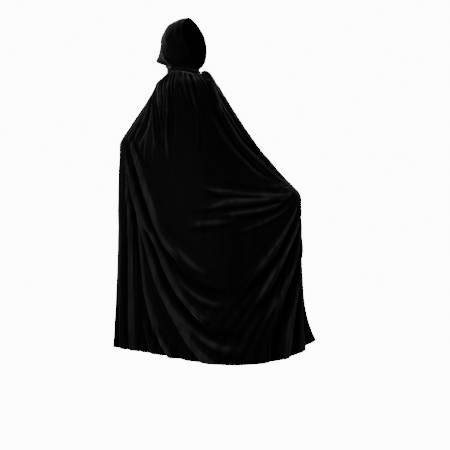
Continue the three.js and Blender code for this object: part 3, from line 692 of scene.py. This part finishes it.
# The neck band: a doubled strip with rounded edges and faint puckers where the gathers press on it
def neck_band():
    degrees = np.linspace(OPEN_DEG, 360 - OPEN_DEG, 361)
    half, high = BAND_WALL / 2, BAND_HEIGHT
    rows = np.concatenate(
        [np.linspace(0, 1.2, 5), np.linspace(2, high - 2, 9), np.linspace(high - 1.2, high, 5)]
    )
    edge = np.minimum(rows, high - rows)
    swell = half * np.sqrt(np.clip(1 - (1 - np.clip(edge / 1.3, 0, 1)) ** 2, 0.02, 1))
    turn = np.radians(degrees)[:, None]
    radial = neck_radial(turn)
    middle = neck_point(degrees)[:, None] + np.array((0, 0, 1.0)) * rows[None, :, None]
    crown = 0.35 * np.sin(np.pi * rows / high)[None, :]
    pull = np.sin(GATHERS * 2.9 * turn + 1.1 * np.sin(3 * turn)) * np.exp(-rows / 4.5)[None, :]
    groove = -0.35 * (np.exp(-(((rows - 1.9) / 0.5) ** 2)) + np.exp(-(((high - 1.9 - rows) / 0.5) ** 2)))
    face = swell[None, :] + crown + 0.22 * pull + groove[None, :]
    outside = middle + radial * face[..., None]
    inside = middle - radial * (swell[None, :] + 0.1 * pull + groove[None, :] * 0.5)[..., None]
    uv = np.stack(np.broadcast_arrays(np.radians(degrees)[:, None] * NECK_RADIUS, rows[None, :]), axis=-1)
    return shell("neck_band_velvet", outside[:, ::-1], inside[:, ::-1], uv[:, ::-1], [band_pile])


band = neck_band()


def neck_tape():
    """A thin strip inside the band that covers the seams above and below it."""
    degrees, rows = np.linspace(46, 314, 161), np.linspace(BAND_HEIGHT + 3.5, -4, 16)
    turn = np.radians(degrees)[:, None]
    radial = neck_radial(turn)
    middle = neck_point(degrees)[:, None] + np.array((0, 0, 1.0)) * rows[None, :, None]
    uv = np.stack(np.broadcast_arrays(turn * NECK_RADIUS, rows[None, :]), axis=-1)
    outer = BAND_WALL / 2 + 0.5 + 0.12 * np.sin(31 * turn) * np.cos(rows / 5)[None, :]
    outside, inside = middle - radial * outer[..., None], middle - radial * (outer + 0.5)[..., None]
    return shell("neck_tape", outside, inside, uv, [knit_back])


inner_tape = neck_tape()


# The hood: two halves turned on the neck
def hood_surface(shares, rises, side):
    at = np.linspace(0, 1, len(HOOD_ARCHES))

    def size(column):
        return through(at, [arch[column] for arch in HOOD_ARCHES], shares)

    ring = neck_point(size(0)[:, 0], BAND_HEIGHT + SEAM_GAP)
    foot = np.stack([HOOD_AXIS[1] - ring[:, 1], -ring[:, 0], ring[:, 2]], axis=1)
    jaw, temple, top = size(1), size(2), size(3)
    top = np.stack([top[:, 0], 0 * top[:, 0], top[:, 1]], axis=1)
    peak = np.clip(size(4), 0, 1)
    knots = np.stack([foot, jaw, temple, top], axis=1)
    steps = np.linalg.norm(np.diff(knots, axis=1), axis=2)
    reach = np.concatenate([np.zeros((len(shares), 1)), np.cumsum(steps, axis=1)], axis=1)
    points = np.empty((len(shares), len(rises), 3))
    for i in range(len(shares)):
        wanted = rises * reach[i, 3]
        across = temple[i] * np.array((1, -1, 1))
        over = np.append(reach[i], 2 * reach[i, 3] - reach[i, 2])
        soft = through(over, np.vstack([knots[i], across]), wanted)
        sharp = through(reach[i], knots[i], wanted)
        line = soft * (1 - peak[i]) + sharp * peak[i]
        points[i] = np.stack([-side * line[:, 1], HOOD_AXIS[1] - line[:, 0], line[:, 2]], axis=1)
    return points


def turned(points):
    """The hood turned to the side, more and more with the height above the neck."""
    tilt = NECK_TILT * np.clip(points[..., 1] / NECK_RADIUS, -1, 1)
    ring_level = NECK_LEVEL + BAND_HEIGHT + SEAM_GAP + tilt
    t = np.clip((points[..., 2] - ring_level) / HOOD_TURN_HEIGHT, 0, 1)
    turn = -np.radians(HOOD_TURN * (1 - (1 - t) ** 3))
    x, y = points[..., 0] - HOOD_AXIS[0], points[..., 1] - HOOD_AXIS[1]
    placed = points.copy()
    placed[..., 0] = HOOD_AXIS[0] + x * np.cos(turn) - y * np.sin(turn)
    placed[..., 1] = HOOD_AXIS[1] + x * np.sin(turn) + y * np.cos(turn)
    return placed


# Soft folds of the hood. Columns: from and to as (share back from the front edge, share up the arch),
# width as a share, height in millimetres
HOOD_FOLDS = (
    ((0.42, 0.30), (0.55, 0.95), 0.035, 3.0),
    ((0.50, 0.25), (0.66, 0.92), 0.030, -2.4),
    ((0.60, 0.28), (0.78, 0.80), 0.030, 2.6),
    ((0.20, 0.10), (0.34, 0.62), 0.030, 2.2),
    ((0.12, 0.10), (0.24, 0.55), 0.026, -1.6),
    ((0.30, 0.08), (0.46, 0.50), 0.030, -2.0),
    ((0.08, 0.30), (0.12, 0.85), 0.030, 1.6),
)


def hood_half(name, side):
    """One half of the hood with its folds, and the line of its stitches; side is 1 for the right."""
    edge_shares = np.array((0, 0.006, 0.015, 0.03, 0.042, HOOD_STITCH, 0.058))
    seam_rises = np.array((0.978, 0.988, 0.995, 1.0))
    shares = np.unique(np.concatenate([edge_shares, np.linspace(0.07, 1, 105)]))
    rises = np.unique(np.concatenate([np.linspace(0, 0.965, 92), seam_rises]))[::-1]
    plain = hood_surface(shares, rises, side)
    share, rise = np.meshgrid(shares, rises, indexing="ij")
    height = np.zeros_like(share)
    for start, end, width, tall in HOOD_FOLDS:
        step = np.array(end) - np.array(start)
        along = np.clip(((share - start[0]) * step[0] + (rise - start[1]) * step[1]) / (step @ step), 0, 1)
        away = np.hypot(share - start[0] - along * step[0], rise - start[1] - along * step[1])
        height += tall * np.sin(np.pi * along) ** 0.7 * np.exp(-((away / width) ** 2))
    low = smooth(0.01, 0.07, rise) * (1 - smooth(0.1, 0.34, rise))
    height += 1.5 * low * np.sin(46 * share + 2 * np.sin(9 * share) + (1 - side))
    ripples = np.sin(23 * share + 17 * rise + side) * np.sin(9 * rise + 31 * share)
    height += 0.5 * smooth(0.05, 0.2, rise) * ripples
    height += -1.0 * np.exp(-(((1 - rise) / 0.009) ** 2))
    height -= 0.3 * np.exp(-(((share - HOOD_STITCH) / 0.004) ** 2))
    height *= smooth(0, 0.04, rise)
    over, along = np.gradient(plain, shares, axis=0), np.gradient(plain, -rises, axis=1)
    normals = unit(np.cross(over, along)) * side
    folded = plain + normals * height[..., None]
    over, along = np.gradient(folded, shares, axis=0), np.gradient(folded, -rises, axis=1)
    normals = unit(np.cross(over, along)) * side
    normals[:, 0, 0] = 0
    normals[:, -1, 2] = 0
    normals = unit(normals)
    turned_in = (1 - smooth(0.047, 0.053, share)) * smooth(0.0, 0.03, rise)
    outside = folded + normals * (CLOTH / 2)
    inside = folded - normals * (CLOTH / 2 + HEM_PLY * turned_in[..., None])
    for grid in (outside, inside):
        grid[..., 0] = -side * np.maximum(-side * grid[..., 0], 0)
    uv = np.stack([share * 260, (1 - rise) * 330], axis=-1)
    # painted light and shade on the hood: paler colour on the crests of its folds as a painted highlight, painted
    # shade on the flat cloth and in the troughs
    painted_light = np.clip(height / 6 - 0.4, -1, 1)
    half = shell(name, turned(outside), turned(inside), uv, [pile, knit_back], side < 0, painted_light)
    edge_row = int(np.abs(shares - HOOD_STITCH).argmin())
    return half, turned(folded + normals * (CLOTH / 2 + CLEAR))[edge_row]


hood_right, right_hood_stitches = hood_half("hood_right_velvet", 1)
hood_left, left_hood_stitches = hood_half("hood_left_velvet", -1)


# Stitches: a thread rod at every step of a line, made by one node tree
def stitch_tree():
    tree = bpy.data.node_groups.new("stitch_line", "GeometryNodeTree")
    tree.interface.new_socket("Geometry", in_out="INPUT", socket_type="NodeSocketGeometry")
    for name, value in (("Pitch", 0.0034), ("Stitch length", 0.0023), ("Thread radius", 0.00022)):
        socket = tree.interface.new_socket(name, in_out="INPUT", socket_type="NodeSocketFloat")
        socket.default_value = value
    tree.interface.new_socket("Thread", in_out="INPUT", socket_type="NodeSocketMaterial")
    tree.interface.new_socket("Geometry", in_out="OUTPUT", socket_type="NodeSocketGeometry")
    nodes, links = tree.nodes, tree.links
    given, result = nodes.new("NodeGroupInput"), nodes.new("NodeGroupOutput")
    to_curve = nodes.new("GeometryNodeMeshToCurve")
    spaced = nodes.new("GeometryNodeResampleCurve")
    spaced.mode = "LENGTH"
    tangent = nodes.new("GeometryNodeInputTangent")
    align = nodes.new("FunctionNodeAlignRotationToVector")
    align.axis = "Z"
    rod = nodes.new("GeometryNodeMeshCylinder")
    rod.fill_type = "TRIANGLE_FAN"
    rod.inputs["Vertices"].default_value = 6
    place = nodes.new("GeometryNodeInstanceOnPoints")
    real = nodes.new("GeometryNodeRealizeInstances")
    colour = nodes.new("GeometryNodeSetMaterial")
    links.new(given.outputs["Geometry"], to_curve.inputs["Mesh"])
    links.new(to_curve.outputs["Curve"], spaced.inputs["Curve"])
    links.new(given.outputs["Pitch"], spaced.inputs["Length"])
    links.new(tangent.outputs["Tangent"], align.inputs["Vector"])
    links.new(given.outputs["Stitch length"], rod.inputs["Depth"])
    links.new(given.outputs["Thread radius"], rod.inputs["Radius"])
    links.new(spaced.outputs["Curve"], place.inputs["Points"])
    links.new(rod.outputs["Mesh"], place.inputs["Instance"])
    links.new(align.outputs["Rotation"], place.inputs["Rotation"])
    links.new(place.outputs["Instances"], real.inputs["Geometry"])
    links.new(real.outputs["Geometry"], colour.inputs["Geometry"])
    links.new(given.outputs["Thread"], colour.inputs["Material"])
    links.new(colour.outputs["Geometry"], result.inputs["Geometry"])
    return tree


STITCHES = stitch_tree()


def stitch_lines(name, lines):
    """A plain mesh of stitches along each line of points."""
    points = np.concatenate(lines)
    edges, start = [], 0
    for line in lines:
        edges += [(start + k, start + k + 1) for k in range(len(line) - 1)]
        start += len(line)
    guide_mesh = bpy.data.meshes.new(name + "_guide")
    guide_mesh.from_pydata((points / 1000).tolist(), edges, [])
    guide = add_object(name + "_guide", guide_mesh)
    modifier = guide.modifiers.new("stitches", "NODES")
    modifier.node_group = STITCHES
    for item in STITCHES.interface.items_tree:
        if item.item_type == "SOCKET" and item.in_out == "INPUT" and item.name == "Thread":
            modifier[item.identifier] = thread
    bpy.context.view_layer.update()
    evaluated = guide.evaluated_get(bpy.context.evaluated_depsgraph_get())
    mesh = bpy.data.meshes.new_from_object(evaluated)
    mesh.name = name
    piece = add_object(name, mesh)
    bpy.data.objects.remove(guide)
    return piece


lifted = cloth + cloth_normals * (CLOTH / 2 + CLEAR)
turn_column = int(np.abs(across_places - HEM_STITCH).argmin())
turn_row = int(np.abs(down_places - (LENGTH - HEM_STITCH)).argmin())
last_column = len(across_places) - 1 - turn_column
hem_line = lifted[turn_column : last_column + 1, turn_row]
front_lines = [lifted[column, 4:turn_row] for column in (turn_column, last_column)]
hem_stitches = stitch_lines("edge_stitches", [hem_line, *front_lines])
hood_stitches = stitch_lines("hood_edge_stitches", [right_hood_stitches, left_hood_stitches])


def band_line(rise):
    degrees = np.linspace(OPEN_DEG + 1, 359 - OPEN_DEG, 240)
    turn = np.radians(degrees)
    return neck_point(degrees, rise) + neck_radial(turn) * (BAND_WALL / 2 + 0.05)


band_stitches = stitch_lines("band_stitches", [band_line(BAND_STITCH), band_line(BAND_HEIGHT - BAND_STITCH)])


# The closure: round wire through the places that the part gives
WIRE_RADIUS, HOOK_LEVEL, EYE_DEPTH = 0.6, -12.5, -71.2


def wire(name, places):
    curve = bpy.data.curves.new(name, "CURVE")
    curve.dimensions = "3D"
    curve.bevel_depth = WIRE_RADIUS / 1000
    curve.bevel_resolution = 4
    curve.use_fill_caps = True
    spline = curve.splines.new("NURBS")
    spline.points.add(len(places) - 1)
    for point, place in zip(spline.points, places):
        point.co = (*(value / 1000 for value in place), 1)
    spline.use_endpoint_u = True
    spline.order_u = 3
    curve.resolution_u = 6
    form = add_object(name + "_path", curve)
    bpy.context.view_layer.update()
    mesh = bpy.data.meshes.new_from_object(form.evaluated_get(bpy.context.evaluated_depsgraph_get()))
    mesh.materials.clear()
    mesh.materials.append(lacquer)
    piece = add_object(name, mesh)
    bpy.data.objects.remove(form)
    return piece


def ring(x, z, radius, start, end, count):
    turns = np.radians(np.linspace(start, end, count))
    return [(x + radius * math.cos(t), EYE_DEPTH, HOOK_LEVEL + z + radius * math.sin(t)) for t in turns]


def closure_place(x, depth=0.0, level=0.0):
    return (x, EYE_DEPTH + depth, HOOK_LEVEL + level)


EYE_BOW = ((7, 1.9), (2.5, 2.3), (-0.4, 1.7), (-1.6, 0), (-0.4, -1.7), (2.5, -2.3), (7, -1.9))
HOOK_BILL = (
    (-8.2, 0), (-5.4, 0.8), (-3.2, 1.8), (-1.2, 2), (0.5, 1.2), (0.9, -0.3), (0, -1.6), (-1.8, -2), (-3.2, -1.9),
)
eye = wire(
    "wire_eye",
    ring(11, 3.6, 1.7, 200, -70, 9)
    + [closure_place(x, level=level) for x, level in EYE_BOW]
    + ring(11, -3.6, 1.7, 70, -200, 9),
)
hook = wire("wire_hook", ring(-11.6, 0, 1.9, 50, 330, 9) + [closure_place(x, depth) for x, depth in HOOK_BILL])

# What each piece stands for, its finish and its cut
PIECES = (
    (right_front, "velvet", "right_front"),
    (back, "velvet", "back_panel"),
    (left_front, "velvet", "left_front"),
    (band, "band_velvet", "neck_band"),
    (hood_right, "velvet", "hood_right"),
    (hood_left, "velvet", "hood_left"),
    (eye, "closure_wire", "neck_eye"),
    (hook, "closure_wire", "neck_hook"),
)
for piece, slot, node in PIECES:
    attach(piece, "root")
    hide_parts(node)
for piece in (*tapes, inner_tape, hem_stitches, hood_stitches, band_stitches):
    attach(piece, "root")

# Floor and light: a white studio whose brightness doesn't fall on the cloth
WHITE = 12.0  # how bright the camera sees the background
AMBIENT = 0.025  # how much of it lights the cloth
FLOOR_LEVEL, FLOOR_REACH = -1.6, 9

floor_mesh = bpy.data.meshes.new("floor")
floor_corners = [(x * FLOOR_REACH, y * FLOOR_REACH, FLOOR_LEVEL) for x, y in ((-1, -1), (1, -1), (1, 1), (-1, 1))]
floor_mesh.from_pydata(floor_corners, [], [(0, 1, 2, 3)])
floor = add_object("floor", floor_mesh)
paper, _, paper_shader = new_material("paper_floor")
paper_shader.inputs["Base Color"].default_value = (0.9, 0.9, 0.9, 1)
paper_shader.inputs["Roughness"].default_value = 0.9
paper_shader.inputs["Emission Color"].default_value = (1, 1, 1, 1)
paper_shader.inputs["Emission Strength"].default_value = WHITE
floor_mesh.materials.append(paper)
floor.visible_diffuse = False
floor.visible_glossy = False

world = bpy.data.worlds.new("studio")
world.use_nodes = True
studio = world.node_tree
backdrop = studio.nodes["Background"]
backdrop.inputs["Color"].default_value = (1, 1, 1, 1)
seen = studio.nodes.new("ShaderNodeLightPath")
strength = studio.nodes.new("ShaderNodeMapRange")
strength.inputs["To Min"].default_value = AMBIENT
strength.inputs["To Max"].default_value = WHITE
studio.links.new(seen.outputs["Is Camera Ray"], strength.inputs["Value"])
studio.links.new(strength.outputs["Result"], backdrop.inputs["Strength"])
bpy.context.scene.world = world


def soft_light(name, right, away, up, size, watts):
    """An area light placed by the camera's right, away and up, facing the cloak's middle."""
    data = bpy.data.lights.new(name, "AREA")
    data.energy, data.size = watts, size
    light = add_object(name, data)
    c = math.sqrt(0.5)
    light.location = (c * (away - right), -c * (right + away), up)
    aim = np.array((0.0, 0.0, -0.6)) - np.array(light.location)
    tip = math.acos(-aim[2] / np.linalg.norm(aim))
    light.rotation_euler = (tip, 0, math.atan2(aim[1], aim[0]) - math.pi / 2)


soft_light("key", -2.9, -2.3, 0.4, 1.2, 85)
soft_light("top", 0.3, -1.6, 2.6, 1.4, 12)
soft_light("fill", 2.9, -2.3, 0.3, 1.2, 40)
soft_light("rim_left", -2.2, 1.9, 0.9, 1.2, 25)
soft_light("behind", 0.6, 3.6, 0.5, 1.8, 60)
soft_light("rim_right", 2.6, 1.6, 1.0, 1.2, 25)
